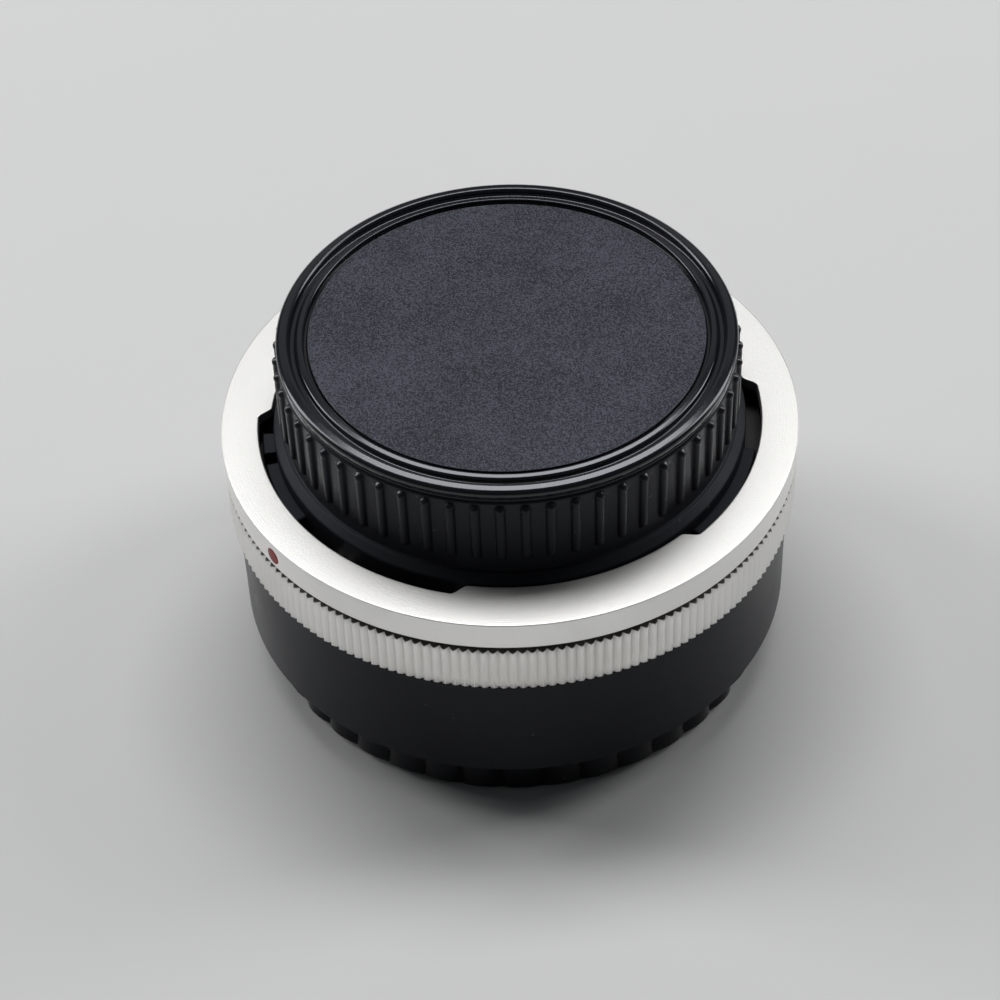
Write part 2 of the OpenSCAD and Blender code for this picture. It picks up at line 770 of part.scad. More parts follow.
module drive_ring() {
  color("#c9cbcd")
  lever_ring(drive_z, drive_rear_a, drive_front_a, drive_post_a);
}

module signal_ring() {
  color("#c2b48a")
  lever_ring(signal_z, signal_rear_a, signal_front_a, signal_post_a);
}

module signal_pin() {
  p = at(pin_r, pin_a, 0);
  color("#d0d2d4")
  union() {
    peg(pin_r, pin_a, pin_d, collar_z - 1, pin_top - 0.4);
    peg(pin_r, pin_a, collar_d, collar_z, collar_z + collar_t);
    translate([p[0], p[1], pin_top - 0.4])
      cylinder(d1 = pin_d, d2 = pin_d - 0.6, h = 0.4);
  }
}

// Rear cap: ribbed drum with a rounded rim over a disc, skirt and ears that pass the ring's gaps
module rear_cap() {
  color("#2a2c30")
  difference() {
    union() {
      rotate_extrude()
        rcap_profile();
      translate([0, 0, ring_top + rib_low])
        linear_extrude(rib_top - ring_top - rib_low)
          union() {
            circle(r = rcap_r);
            for (i = [0:rcap_ribs - 1])
              rotate(360 / rcap_ribs * (i + 0.5))
                translate([rcap_r - rib_sink, 0])
                  circle(d = rib_d, $fn = 32);
          }
      for (i = [0:rcap_ribs - 1])
        translate(at(rcap_r - ball_sink, 360 / rcap_ribs * (i + 0.5), rib_top))
          sphere(d = ball_d, $fn = 32);
      for (i = [0:2])
        sector(skirt_r - 0.6, ear_r, ear_from(i), ear_from(i) + ear_span, rcap_z, rcap_z + ear_t);
    }
    rotate([0, 0, ear_from(1) + notch_a])
      translate([skirt_r + 0.2, -notch_w / 2, rcap_z - eps])
        cube([ear_r - skirt_r + eps, notch_w, ear_t + 2 * eps]);
    translate([0, 0, rcap_z - eps])
      cylinder(r = rcap_in, h = disc_z - rcap_disc_t - rcap_z + eps);
  }
}

// Half profile of the rear cap, solid inside
module rcap_profile() {
  union() {
    difference() {
      polygon([
        [0, rcap_z], [skirt_r, rcap_z], [skirt_r, ring_top], [rcap_r + 0.35, ring_top + 0.9],
        [rcap_r, ring_top + 0.9], [rcap_r, rim_z], [rcap_r - rim_r, rim_z + 0.1],
        [rcap_r - 2.2, disc_z - 0.35], [rcap_r - 2.2, disc_z], [rcap_r - 2.9, disc_z],
        [rcap_r - 2.95, disc_z - 0.4], [rcap_r - 3.35, disc_z - 0.4], [rcap_r - 3.4, disc_z],
        [0, disc_z]]);
      translate([rcap_r - 1.75, rcap_top])
        circle(r = 0.7);
    }
    translate([rcap_r - rim_r, rim_z])
      circle(r = rim_r);
    translate([rcap_r - 2.55, disc_z - 0.1])
      circle(r = 0.42);
  }
}

// Front cap: scalloped cup with inner lugs that pass between the front mount's lugs
module front_cap() {
  color("#1f2124")
  difference() {
    union() {
      intersection() {
        linear_extrude(lcap_top)
          union() {
            circle(r = lcap_in + 0.4);
            for (i = [0:lcap_scallops - 1])
              rotate(360 / lcap_scallops * i)
                translate([lcap_r - scallop_r, 0])
                  circle(r = scallop_r, $fn = 64);
          }
        rotate_extrude()
          polygon([
            [0, 0], [lcap_r - 0.7 - lcap_chamfer, 0], [lcap_r + 0.1, 0.7 + lcap_chamfer],
            [lcap_r + 0.1, lcap_top + 1], [0, lcap_top + 1]]);
      }
    }
    difference() {
      translate([0, 0, lcap_floor])
        cylinder(r = lcap_in, h = lcap_top);
      for (i = [0:2])
        sector(lcap_lug_r, lcap_in + 0.5, lugs[i] - lug_span / 2 + lug_pass,
          lugs[i] + lug_span / 2 - lug_pass, front_lug_z + 0.3, lcap_top - 0.6);
    }
  }
}

barrel();
front_mount();
front_mount_screws();
front_index_dot();
rear_mount();
rear_mount_screws();
friction_washer();
stop_pin();
lens_cell();
cell_screws();
lens_front();
lens_middle_front();
lens_middle_rear();
lens_rear();
front_retainer();
front_spacer();
rear_spacer();
rear_retainer();
baffle();
ring_clip();
spring_posts();
drive_spring();
signal_spring();
pin_plug();
pin_spring();
grip_ring();
breech_flange();
ring_index_dot();
drive_ring();
signal_ring();
signal_pin();
rear_cap();
front_cap();
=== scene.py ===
"""Studio scene of a lens teleconverter: breech-lock ring on top, ribbed caps on both mounts.

Sizes are in millimetres in the values below and become metres when a mesh is made. Z is the
optical axis, with the camera side on top. Every new surface is a grid of points worked out as
whole arrays: an angle round the axis runs along one side of the grid and a profile along the
other.
"""
import json
import bpy
import numpy as np
from mathutils import Matrix, Vector


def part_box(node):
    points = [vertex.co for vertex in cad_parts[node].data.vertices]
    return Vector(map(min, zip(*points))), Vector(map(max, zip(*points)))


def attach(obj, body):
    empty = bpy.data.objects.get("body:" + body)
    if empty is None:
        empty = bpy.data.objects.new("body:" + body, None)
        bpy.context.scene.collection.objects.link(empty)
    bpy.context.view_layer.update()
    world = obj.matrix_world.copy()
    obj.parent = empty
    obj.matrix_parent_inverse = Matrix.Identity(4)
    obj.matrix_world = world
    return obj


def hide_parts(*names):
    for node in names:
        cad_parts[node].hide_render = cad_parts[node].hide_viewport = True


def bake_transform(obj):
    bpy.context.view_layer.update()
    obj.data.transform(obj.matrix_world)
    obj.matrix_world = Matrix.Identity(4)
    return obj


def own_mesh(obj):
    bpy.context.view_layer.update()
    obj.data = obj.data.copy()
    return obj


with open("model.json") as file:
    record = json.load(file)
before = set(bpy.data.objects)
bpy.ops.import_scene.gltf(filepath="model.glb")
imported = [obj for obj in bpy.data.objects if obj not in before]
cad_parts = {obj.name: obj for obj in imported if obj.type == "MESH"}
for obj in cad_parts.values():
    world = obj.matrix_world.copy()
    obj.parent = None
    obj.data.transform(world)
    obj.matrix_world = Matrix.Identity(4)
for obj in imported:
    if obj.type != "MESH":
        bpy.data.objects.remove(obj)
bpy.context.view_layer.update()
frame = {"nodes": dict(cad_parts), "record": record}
nodes = frame["nodes"]
scene = bpy.context.scene

# Units, the radius of the row next to a pole, and the largest shares of a side that a fillet and
# the row beside it take
MM = 0.001
TAU = 2 * np.pi
POLE_R = 3.0
FILLET_SHARE = 0.46
BESIDE_SHARE = 0.04

# Breech ring
RING_R = 32.0
ROOT_R = 31.4
GROOVE_R = 31.2
LUG_R = 26.5
GAP_R = 27.9
POCKET_R = 28.3
SPIGOT_IN_R = 30.2
SPIGOT_R = 30.7
BORE_R = 30.75
LAND_R = 28.8
RING_Z = 20.95
LAND_Z = 23.15
SPIGOT_Z = 24.65
GRIP_TOP = 26.75
BAND_Z = 27.75
RING_TOP = 31.15
LUG_UNDER = 29.85
KNURL_TEETH = 192
TOOTH_FOOT = 0.2
TOOTH_BEVEL = 0.05
LUG_MIDDLES = (35.7, 149.5, 285.5)
LUG_SPAN = 58.0
LUG_END = 1.7
LUG_END_OUT = 0.2
DOT_ANGLE = 216.5
DOT_Z = BAND_Z + 0.42 * (RING_TOP - BAND_Z)
DOT_R = 1.05
DOT_RISE = 0.07
DOT_SINK = 0.02
DOT_BACK = 0.985

# Barrel
BARREL_R = 31.2
BARREL_LOW = 6.45
BARREL_TOP = 20.75

# Rear cap, with its disc, the groove, ridge and groove round it, and the rim
CAP_R = 24.95
CAP_IN_R = 23.8
CAP_Z = 27.9
CAP_TOP = 43.6
DISC_R = CAP_R - 3.4
DISC_Z = 43.15
DISC_PLATE = 1.5
INNER_GROOVE = 0.4
RIDGE_R = CAP_R - 2.94
RIDGE_WIDE = 0.74
RIDGE_RISE = 0.3
OUTER_GROOVE = 0.32
RIM_IN_R = CAP_R - 1.3
RIM_WIDE = 1.5
RIM_OVER = 0.07
RIM_TUCK = 0.27
RIM_R = 0.75
RIM_Z = CAP_TOP - RIM_R
FLAT_TILT = 12.0
SKIRT_R = 26.2
SKIRT_RISE = 0.9
RIBS = 60
RIB_R = 0.55
RIB_SINK = 0.05
BALL_R = 0.6
BALL_SINK = 0.02
RIB_LOW = RING_TOP + 2.6
RIB_TOP = RIM_Z - BALL_R - 1.25
EAR_R = 27.55
EAR_ROOT_R = SKIRT_R - 0.6
EAR_SOFT = 0.25
EAR_TOP = CAP_Z + 1.8
EAR_START = 2.5
EAR_SPAN = 31.0
NOTCH_ANGLE = 9.0
NOTCH_HALF = 1.46

# Front cap
FOOT_R = 29.2
FOOT_IN_R = 27.75
FOOT_FLOOR = 1.4
FOOT_TOP = 6.25
FOOT_CONE = 1.1
FOOT_BEVEL = 0.1
SCALLOPS = 40
SCALLOP_R = 3.6
SCALLOP_STEPS = 16
FOOT_LUG_R = 26.5
FOOT_LUG_LOW = 3.55
FOOT_LUG_TOP = 5.65
FOOT_LUG_SHORT = 2.5
FOOT_LUG_SOFT = 0.2

# Springs: a coil under the full-aperture pin, and two that lie round the axis
WIRE_R = 0.22
WIRE_SIDES = 12
TURN_STEPS = 24
PIN_TURNS = 5
ARC_R = 25.42
ARC_Z = 16.65
ARC_COIL_R = 1.1
DRIVE_ARC = (-15.81, 17.81)
DRIVE_TURNS = 12
SIGNAL_ARC = (207.19, 247.81)
SIGNAL_TURNS = 15

# Camera of the photograph: distance to the ring's top, elevation, turn of the frame and lens
VIEW_DISTANCE = 300.0
VIEW_ELEVATION = 0.75973
VIEW_PAN = -0.004586
VIEW_TILT = -0.032621
VIEW_ROLL = 0.034527
VIEW_LENS = 97.235

# Floor in millimetres, and the point in metres that the lamps are turned to
FLOOR_HALF = 4000.0
FLOOR_Z = -0.01
LAMP_AIM = (0, 0, 0.02)


def mesh_object(name, points, faces, body=None, crease=60.0):
    """Object from points in millimetres and faces as lists of indices, on a body if one is given.
    It is shaded smooth, but for edges that turn by more than crease degrees."""
    mesh = bpy.data.meshes.new(name)
    mesh.from_pydata((np.asarray(points) * MM).tolist(), [], faces)
    mesh.polygons.foreach_set("use_smooth", np.ones(len(mesh.polygons), dtype=bool))
    mesh.update()
    mesh.set_sharp_from_angle(angle=np.radians(crease))
    piece = bpy.data.objects.new(name, mesh)
    scene.collection.objects.link(piece)
    if body:
        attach(piece, body)
    return piece


def grid_faces(columns, rows, wrap_columns, wrap_rows):
    """Quads of a grid of columns by rows, numbered column by column."""
    c = np.arange(columns if wrap_columns else columns - 1)
    r = np.arange(rows if wrap_rows else rows - 1)
    cc, rr = np.meshgrid(c, r, indexing="ij")
    nc = (cc + 1) % columns
    nr = (rr + 1) % rows
    quads = np.stack([cc * rows + rr, nc * rows + rr, nc * rows + nr, cc * rows + nr], axis=-1)
    return quads.reshape(-1, 4).tolist()


def faces_out(faces):
    """The same faces with their order reversed, for a profile that runs clockwise."""
    return [f[::-1] for f in faces]


def turned(theta, radius, height):
    """Points r cos t, r sin t, z for angles t by rows; radius and height are rows or grids."""
    t = theta[:, None]
    r = np.broadcast_to(radius, (len(theta), np.shape(radius)[-1]))
    z = np.broadcast_to(height, r.shape)
    return np.stack([r * np.cos(t), r * np.sin(t), z], axis=-1)


def turned_ring(theta, radius, height):
    """Closed ring: the profile's rows run round a loop, anticlockwise in the r, z half plane."""
    grid = turned(theta, radius, height)
    faces = grid_faces(grid.shape[0], grid.shape[1], True, True)
    return grid.reshape(-1, 3), faces


def turned_cup(theta, radius, height, z_first, z_last):
    """Closed cup: the rows run from a pole on the axis at z_first to another at z_last."""
    grid = turned(theta, radius, height)
    columns, rows = grid.shape[:2]
    points = np.concatenate([grid.reshape(-1, 3), [[0, 0, z_first], [0, 0, z_last]]])
    faces = grid_faces(columns, rows, True, False)
    here = np.arange(columns) * rows
    after = np.roll(here, -1)
    pole = columns * rows
    faces += np.stack([np.full(columns, pole), after, here], axis=-1).tolist()
    faces += np.stack([np.full(columns, pole + 1), here + rows - 1, after + rows - 1], axis=-1).tolist()
    return points, faces


def rounded(corners, closed=True, steps=5):
    """Profile through corners (r, z, fillet): each corner becomes an arc of its fillet radius,
    with a row close by on each side so that flats stay flat. Returns the rows' r and z."""
    p = np.array(corners, float)
    n = len(p)
    rows = []
    for i in range(n):
        b = p[i, :2]
        f = p[i, 2]
        if f <= 0 or (not closed and i in (0, n - 1)):
            rows.append(b[None])
            continue
        u = p[i - 1, :2] - b
        v = p[(i + 1) % n, :2] - b
        reach = min(np.linalg.norm(u), np.linalg.norm(v))
        u = u / np.linalg.norm(u)
        v = v / np.linalg.norm(v)
        half = np.arccos(np.clip(u @ v, -1, 1)) / 2
        tangent = min(f / np.tan(half), FILLET_SHARE * reach)
        f = tangent * np.tan(half)
        middle = b + (u + v) / np.linalg.norm(u + v) * f / np.sin(half)
        a = b + u * tangent - middle
        c = b + v * tangent - middle
        turn = np.arctan2(a[0] * c[1] - a[1] * c[0], a @ c)
        k = np.linspace(0, turn, steps)[:, None]
        side = np.array([-a[1], a[0]])
        arc = middle + a * np.cos(k) + side * np.sin(k)
        beside = tangent + min(0.25 * f + 0.02, BESIDE_SHARE * reach)
        rows.append((b + u * beside)[None])
        rows.append(arc)
        rows.append((b + v * beside)[None])
    out = np.concatenate(rows)
    return out[:, 0], out[:, 1]


def even(count):
    """Even angles round the axis."""
    return np.arange(count) * TAU / count


def lug_edge(theta):
    """Inner radius of the breech flange by angle: LUG_R on a lug, GAP_R between lugs. A lug's end
    is half a cosine wave LUG_END long, of which the share LUG_END_OUT lies in the gap, so the lug's
    corner and the gap's corner are both round."""
    degrees = np.degrees(theta)
    edge = np.full_like(theta, GAP_R)
    for middle in LUG_MIDDLES:
        away = np.abs((degrees - middle + 180) % 360 - 180)
        inside = np.radians(LUG_SPAN / 2 - away) * LUG_R
        ramp = np.clip(inside / LUG_END + LUG_END_OUT, 0, 1)
        edge = edge - (GAP_R - LUG_R) * (0.5 - 0.5 * np.cos(np.pi * ramp))
    return edge


def lug_angles():
    """Angles for the breech flange: 288 even ones, and 40 more within 2.6 degrees of each lug's end."""
    ends = [m + s * LUG_SPAN / 2 for m in LUG_MIDDLES for s in (-1, 1)]
    fine = np.linspace(-2.6, 2.6, 40)
    t = np.concatenate([np.degrees(even(288))] + [e + fine for e in ends]) % 360
    t = np.unique(np.round(t, 3))
    return np.radians(t)


def breech_flange():
    """Ring of the smooth band and its lugs: a rounded profile whose inner edge follows lug_edge."""
    theta = lug_angles()
    r, z = rounded([
        (POCKET_R, GRIP_TOP, 0.05), (SPIGOT_IN_R, GRIP_TOP, 0.05), (SPIGOT_IN_R, SPIGOT_Z + 0.1, 0.05),
        (SPIGOT_R, SPIGOT_Z + 0.1, 0.05), (SPIGOT_R, GRIP_TOP, 0), (GROOVE_R, GRIP_TOP, 0.05),
        (GROOVE_R, BAND_Z, 0.08), (RING_R, BAND_Z, 0.1), (RING_R, RING_TOP, 0.12),
        (LUG_R, RING_TOP, 0.14), (LUG_R, LUG_UNDER, 0.08), (POCKET_R, LUG_UNDER, 0.08)])
    inner = (r < LUG_R + 0.4) & (z > LUG_UNDER - 0.2)
    shift = (lug_edge(theta) - LUG_R)[:, None]
    grid_r = r[None, :] + shift * inner[None, :]
    return mesh_object("breech_flange_band", *turned_ring(theta, grid_r, z), "breech_ring")


def knurled_grip():
    """Knurled ring: r is the root radius plus a triangle wave in the angle with a rounded crest. A
    cone breaks the teeth's lower ends down to TOOTH_FOOT above the roots, and a bevel of TOOTH_BEVEL
    breaks the upper ends."""
    share = np.array([0.0, 0.25, 0.42, 0.5, 0.58, 0.75])
    tooth = np.array([0.0, 0.55, 0.88, 0.97, 0.88, 0.55])
    theta = ((np.arange(KNURL_TEETH)[:, None] + share[None, :]) * TAU / KNURL_TEETH).reshape(-1)
    crest = ROOT_R + (RING_R - ROOT_R) * np.tile(tooth, KNURL_TEETH)
    z = np.array([RING_Z, RING_Z + 0.1, RING_Z + 0.2, RING_Z + 0.3, RING_Z + 0.4, RING_Z + 1.5,
                  GRIP_TOP - 1.5, GRIP_TOP - TOOTH_BEVEL, GRIP_TOP])
    cone = ROOT_R + TOOTH_FOOT + z - RING_Z
    bevel = np.where(z == GRIP_TOP, TOOTH_BEVEL, 0.0)
    inner_r = np.array([BORE_R, BORE_R, SPIGOT_IN_R, SPIGOT_IN_R, LAND_R, LAND_R])
    inner_z = np.array([GRIP_TOP, SPIGOT_Z, SPIGOT_Z, LAND_Z, LAND_Z, RING_Z])
    outer = np.minimum(crest[:, None], cone[None, :]) - bevel[None, :]
    grid_r = np.concatenate([outer, np.tile(inner_r, (len(theta), 1))], axis=1)
    points, faces = turned_ring(theta, grid_r, np.concatenate([z, inner_z]))
    return mesh_object("grip_knurl", points, faces, "breech_ring", crease=42.0)


def index_dot():
    """Low dome of paint on the band: a disc of radius DOT_R laid on the cylinder RING_R and raised
    towards its middle. Its edge goes into the band, to DOT_BACK of its distance from the axis."""
    rho = np.linspace(0.04, 1, 9)
    phi = even(40)
    t = DOT_R * rho[None, :] * np.cos(phi)[:, None]
    z = DOT_Z + DOT_R * rho[None, :] * np.sin(phi)[:, None]
    level = np.sqrt(RING_R ** 2 - t ** 2)
    r = level + DOT_RISE * np.sqrt(np.clip(1 - rho ** 6, 0, 1))[None, :] - DOT_SINK
    angle = np.radians(DOT_ANGLE) + np.arctan2(t, level)
    grid = np.stack([r * np.cos(angle), r * np.sin(angle), z], axis=-1)
    back = grid[:, -1:, :] * np.array([DOT_BACK, DOT_BACK, 1.0])
    grid = np.concatenate([grid, back], axis=1)
    columns, rows = grid.shape[:2]
    faces = grid_faces(columns, rows, True, False)
    faces.append((np.arange(columns) * rows)[::-1].tolist())
    faces.append((np.arange(columns) * rows + rows - 1).tolist())
    return mesh_object("index_dot_paint", grid.reshape(-1, 3), faces_out(faces), "breech_ring")


def rib_angles():
    """Angles for the rear cap: for each rib its middle, its flanks, its foot and the gap beside it."""
    half = np.array([0.0, 0.22, 0.4, 0.5, 0.545, 0.59, 0.64])
    side = np.concatenate([-half[:0:-1], half, [TAU * CAP_R / RIBS / 2]]) / CAP_R
    middles = (np.arange(RIBS) + 0.5) * TAU / RIBS
    return (middles[:, None] + side[None, :]).reshape(-1)


def rib_height(theta, z):
    """How far the wall stands out at angle and height: low round ribs with a rounded lower end,
    and at the upper end a ball. The middles of both lie a little inside the wall."""
    across = ((theta * RIBS / TAU) % 1.0 - 0.5) * TAU / RIBS * CAP_R
    x = across[:, None]
    below = np.clip(RIB_LOW + RIB_R - z, 0, None)[None, :]
    over = np.clip(z - RIB_TOP, 0, None)[None, :]
    rib = np.sqrt(np.clip(RIB_R ** 2 - x ** 2 - below ** 2 - (over * 4) ** 2, 0, None)) - RIB_SINK
    ball = np.sqrt(np.clip(BALL_R ** 2 - x ** 2 - (z[None, :] - RIB_TOP) ** 2, 0, None)) - BALL_SINK
    return np.maximum(np.maximum(rib, ball), 0)


def rear_cap():
    """Cup turned from one profile: disc, groove, ridge, groove, rim, ribbed wall, skirt, then the
    hollow inside. Ridge and rim have flats that fall outwards by FLAT_TILT, with rounded edges, and
    the rim's outer face tucks in below. Corners are given as they are before the rounding, so the
    rim's lies RIM_OVER above the top. The wall's rows are pushed out by rib_height."""
    theta = rib_angles()
    fall = np.tan(np.radians(FLAT_TILT))
    ridge_top = DISC_Z + RIDGE_RISE
    rim_top = CAP_TOP + RIM_OVER
    under = DISC_Z - DISC_PLATE
    top_r, top_z = rounded([
        (POLE_R, DISC_Z, 0), (12.0, DISC_Z, 0), (18.0, DISC_Z, 0), (DISC_R, DISC_Z, 0.1),
        (DISC_R + 0.08, DISC_Z - INNER_GROOVE, 0.08), (RIDGE_R - 0.04, DISC_Z - INNER_GROOVE, 0.08),
        (RIDGE_R, ridge_top, 0.18), (RIDGE_R + RIDGE_WIDE, ridge_top - RIDGE_WIDE * fall, 0.32),
        (RIDGE_R + RIDGE_WIDE + 0.18, DISC_Z - OUTER_GROOVE, 0.2),
        (RIM_IN_R - 0.2, DISC_Z - OUTER_GROOVE, 0.2), (RIM_IN_R, rim_top, 0.46),
        (RIM_IN_R + RIM_WIDE, rim_top - RIM_WIDE * fall, 0.5),
        (CAP_R - RIM_TUCK, RIM_Z - 0.8, 0.12), (CAP_R, RIM_Z - 1.05, 0)], closed=False, steps=4)
    ball_turn = np.array([90, 78, 66, 52, 38, 24, 10, -8, -26, -44, -62, -78])
    ball_z = RIB_TOP + BALL_R * np.sin(np.radians(ball_turn))
    rib_z = RIB_TOP - np.array([1.4, 2.6, 4.0, 5.4])
    rib_end_z = RIB_LOW + RIB_R * np.array([1.0, 0.65, 0.35, 0.12, 0.0, -0.1])
    wall_z = np.concatenate([[RIB_TOP + BALL_R + 0.06], ball_z, rib_z, rib_end_z])
    wall_r = np.full_like(wall_z, CAP_R)
    shoulder = RING_TOP + SKIRT_RISE
    low_r, low_z = rounded([
        (CAP_R, RIB_LOW - 0.6, 0), (CAP_R, shoulder, 0.3), (CAP_R + 0.35, shoulder - 0.05, 0.25),
        (SKIRT_R, RING_TOP, 0.35), (SKIRT_R, CAP_Z, 0.15), (CAP_IN_R, CAP_Z, 0.15),
        (CAP_IN_R, under, 0.5), (POLE_R, under, 0)], closed=False, steps=2)
    r = np.concatenate([top_r, wall_r, low_r])
    z = np.concatenate([top_z, wall_z, low_z])
    first = len(top_r)
    grid_r = np.tile(r, (len(theta), 1))
    grid_r[:, first:first + len(wall_z)] += rib_height(theta, wall_z)
    points, faces = turned_cup(theta, grid_r, z, DISC_Z, under)
    return mesh_object("rear_cap_drum", points, faces_out(faces), "rear_cap")


def block_on_arc(r0, r1, z0, z1, a0, a1, soft):
    """Closed bar along an arc: a rounded rectangle in r, z carried from angle a0 to a1, drawn in
    over the last soft millimetres at both ends, with flat end faces."""
    r, z = rounded([(r0, z0, soft), (r1, z0, soft), (r1, z1, soft), (r0, z1, soft)])
    mr = (r0 + r1) / 2
    mz = (z0 + z1) / 2
    bend = np.radians([0, 22, 45, 67, 90])
    end_inset = soft * (1 - np.sin(bend))
    end_push = soft * (1 - np.cos(bend))
    middle = np.linspace(0.02, 0.98, 20)
    inset = np.concatenate([end_inset, 0 * middle, end_inset[::-1]])
    push = np.concatenate([end_push, 0 * middle, -end_push[::-1]])
    share = np.concatenate([0 * bend, middle, 0 * bend + 1])
    theta = np.radians(a0) + share * np.radians(a1 - a0) + push / mr
    shrink_r = 1 - inset / ((r1 - r0) / 2)
    shrink_z = 1 - inset / ((z1 - z0) / 2)
    grid_r = mr + (r - mr)[None, :] * shrink_r[:, None]
    grid_z = mz + (z - mz)[None, :] * shrink_z[:, None]
    grid = turned(theta, grid_r, grid_z)
    columns, rows = grid.shape[:2]
    faces = grid_faces(columns, rows, False, True)
    faces.append(np.arange(rows).tolist())
    faces.append(((columns - 1) * rows + np.arange(rows))[::-1].tolist())
    return grid.reshape(-1, 3), faces


def joined(parts):
    """One list of points and faces out of several."""
    points = []
    faces = []
    count = 0
    for p, f in parts:
        points.append(p)
        faces += [[i + count for i in face] for face in f]
        count += len(p)
    return np.concatenate(points), faces


def cap_ears():
    """Three ears on the rear cap's skirt, one in the gap after each locking lug of the ring; the
    second is parted by a locating notch."""
    first, second, third = [middle + LUG_SPAN / 2 + EAR_START for middle in LUG_MIDDLES]
    notch = second + NOTCH_ANGLE
    spans = [(first, first + EAR_SPAN), (third, third + EAR_SPAN),
             (second, notch - NOTCH_HALF), (notch + NOTCH_HALF, second + EAR_SPAN)]
    parts = [block_on_arc(EAR_ROOT_R, EAR_R, CAP_Z, EAR_TOP, a, b, EAR_SOFT) for a, b in spans]
    return mesh_object("rear_cap_ears", *joined(parts), "rear_cap")


def front_cap():
    """Scalloped cup: at each angle the wall lies on the nearest scallop's circle, cut by a cone at the
    lower edge and drawn in at the lip; a flat base and a smooth hollow inside. The hollow has three
    lugs, each FOOT_LUG_SHORT degrees shorter at both ends than the ring's."""
    theta = even(SCALLOPS * SCALLOP_STEPS)
    centre = FOOT_R - SCALLOP_R
    part = ((theta * SCALLOPS / TAU + 0.5) % 1.0 - 0.5) * TAU / SCALLOPS
    wave = centre * np.cos(part) + np.sqrt(SCALLOP_R ** 2 - (centre * np.sin(part)) ** 2)
    side_z = np.array([0.0, 0.05, 0.2, 0.5, 0.8, 1.0, 1.15, 1.3, 2.0, 5.2])
    lip_z = FOOT_TOP - np.array([0.5, 0.3, 0.12, 0.03, 0.0])
    lip = np.array([0.0, 0.03, 0.12, 0.28, 0.45])
    wall_z = np.concatenate([side_z, lip_z])
    drawn_in = np.concatenate([0 * side_z, lip])
    drawn_in[0] = FOOT_BEVEL
    cone = FOOT_R - FOOT_CONE + wall_z
    wall = np.minimum(wave[:, None], cone[None, :]) - drawn_in[None, :]
    in_r, in_z = rounded([
        (FOOT_IN_R + 0.3, FOOT_TOP, 0), (FOOT_IN_R, FOOT_TOP - 0.2, 0.1), (FOOT_IN_R, FOOT_FLOOR, 0.4),
        (POLE_R, FOOT_FLOOR, 0)], closed=False)
    base_r = np.array([POLE_R, 18.0, FOOT_R - FOOT_CONE - 2 * FOOT_BEVEL])
    n = len(theta)
    grid_r = np.concatenate([np.tile(base_r, (n, 1)), wall, np.tile(in_r, (n, 1))], axis=1)
    z = np.concatenate([0 * base_r, wall_z, in_z])
    points, faces = turned_cup(theta, grid_r, z, 0.0, FOOT_FLOOR)
    half = LUG_SPAN / 2 - FOOT_LUG_SHORT
    lugs = [block_on_arc(FOOT_LUG_R, FOOT_IN_R + 0.4, FOOT_LUG_LOW, FOOT_LUG_TOP,
                         middle - half, middle + half, FOOT_LUG_SOFT) for middle in LUG_MIDDLES]
    return mesh_object("front_cap_cup", *joined([(points, faces)] + lugs), "front_cap")


def wire(line, spoke):
    """Points and faces of a round wire along a line of points. Each ring is a circle square to the
    line, counted from the spoke's direction, and a point closes each end."""
    along = np.gradient(line, axis=0)
    along /= np.linalg.norm(along, axis=-1, keepdims=True)
    out = spoke - np.sum(spoke * along, axis=-1, keepdims=True) * along
    out /= np.linalg.norm(out, axis=-1, keepdims=True)
    side = np.cross(out, along)
    a = even(WIRE_SIDES)[None, :, None]
    grid = line[:, None] + WIRE_R * (np.cos(a) * out[:, None] + np.sin(a) * side[:, None])
    columns, rows = grid.shape[:2]
    faces = grid_faces(columns, rows, False, True)
    here = np.arange(rows)
    after = np.roll(here, -1)
    pole = columns * rows
    last = pole - rows
    faces += np.stack([np.full(rows, pole), here, after], axis=-1).tolist()
    faces += np.stack([np.full(rows, pole + 1), last + after, last + here], axis=-1).tolist()
    return np.concatenate([grid.reshape(-1, 3), line[[0, -1]]]), faces


def pin_coil():
    """Coil in the place of the solid's: t turns above the foot, the wire lies at the angle TAU t and
    has risen evenly."""
    low, high = np.array(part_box("pin_spring")) / MM
    foot = np.array([(low[0] + high[0]) / 2, (low[1] + high[1]) / 2, low[2]])
    length = high[2] - low[2]
    t = np.linspace(0, PIN_TURNS, TURN_STEPS * PIN_TURNS + 1)
    spoke = np.stack([np.cos(TAU * t), np.sin(TAU * t), 0 * t], axis=-1)
    height = WIRE_R + (length - 2 * WIRE_R) * t / PIN_TURNS
    line = foot + ((high[0] - low[0]) / 2 - WIRE_R) * spoke + height[:, None] * np.array([0, 0, 1])
    piece = mesh_object("pin_coil", *wire(line, spoke), "housing")
    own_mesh(piece)
    return piece


def return_spring(name, arc, turns):
    """Coil bent round the axis: after t turns it has gone its share of the arc, and the wire lies at
    the angle TAU t about the arc's line."""
    t = np.linspace(0, turns, TURN_STEPS * turns + 1)
    swing = np.radians(arc[0] + (arc[1] - arc[0]) * t / turns)
    radial = np.stack([np.cos(swing), np.sin(swing), 0 * t], axis=-1)
    up = np.array([0, 0, 1.0])
    spoke = np.cos(TAU * t)[:, None] * radial + np.sin(TAU * t)[:, None] * up
    line = ARC_R * radial + ARC_Z * up + ARC_COIL_R * spoke
    piece = mesh_object(name, *wire(line, spoke))
    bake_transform(piece)
    return piece


# Node groups for effects that several materials share


